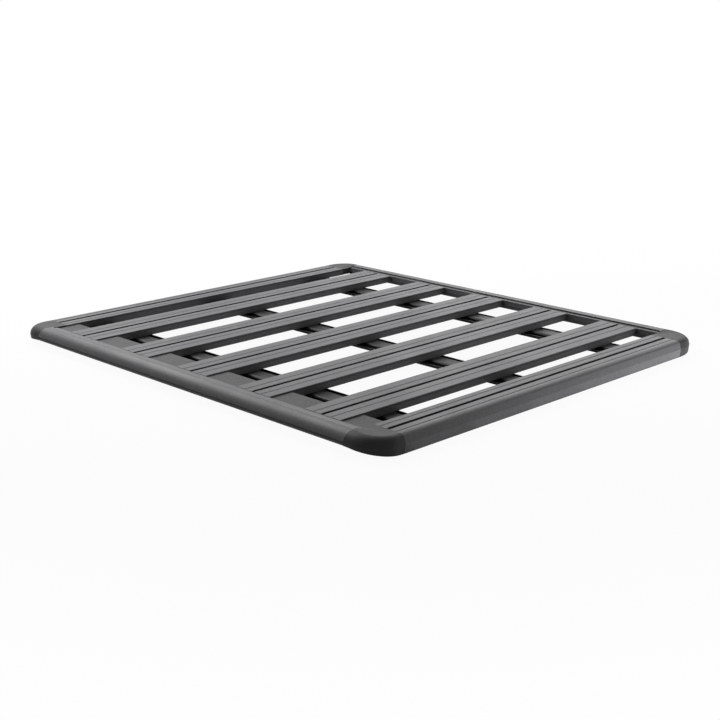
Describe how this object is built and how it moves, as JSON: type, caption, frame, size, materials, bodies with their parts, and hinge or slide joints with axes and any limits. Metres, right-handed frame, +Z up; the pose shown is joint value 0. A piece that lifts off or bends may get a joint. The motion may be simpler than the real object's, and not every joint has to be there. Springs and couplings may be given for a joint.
{
  "type": "flat platform roof rack",
  "caption": "Flat roof rack platform: slotted planks on under-bars, framed by slotted end rails, crowned side rails and moulded corners.",
  "frame": {"origin": "under the middle of the platform, on the level of the end rails' lowest faces", "axes": "+Z up, +X along the planks, +Y along the side rails, from the front rail to the rear rail"},
  "size_m": [1.376, 1.528, 0.0527],
  "materials": {
    "coated_extrusion": "fine-texture black powder coat",
    "coated_bar": "black powder coat",
    "coated_sheet": "fine-texture black powder coat",
    "moulded_corner": "fine-grained moulded black nylon"
  },
  "bodies": {
    "root": {"plank_1": "coated_extrusion", "plank_2": "coated_extrusion", "plank_3": "coated_extrusion", "plank_4": "coated_extrusion", "plank_5": "coated_extrusion", "front_rail": "coated_extrusion", "rear_rail": "coated_extrusion", "left_side_rail": "coated_extrusion", "right_side_rail": "coated_extrusion", "front_left_corner": "moulded_corner", "front_right_corner": "moulded_corner", "rear_left_corner": "moulded_corner", "rear_right_corner": "moulded_corner", "left_under_bar": "coated_bar", "centre_under_bar": "coated_bar", "right_under_bar": "coated_bar", "infill_panel_1": "coated_sheet", "infill_panel_2": "coated_sheet", "infill_panel_3": "coated_sheet", "infill_panel_4": "coated_sheet", "infill_panel_5": "coated_sheet", "infill_panel_6": "coated_sheet"}
  },
  "joints": []
}
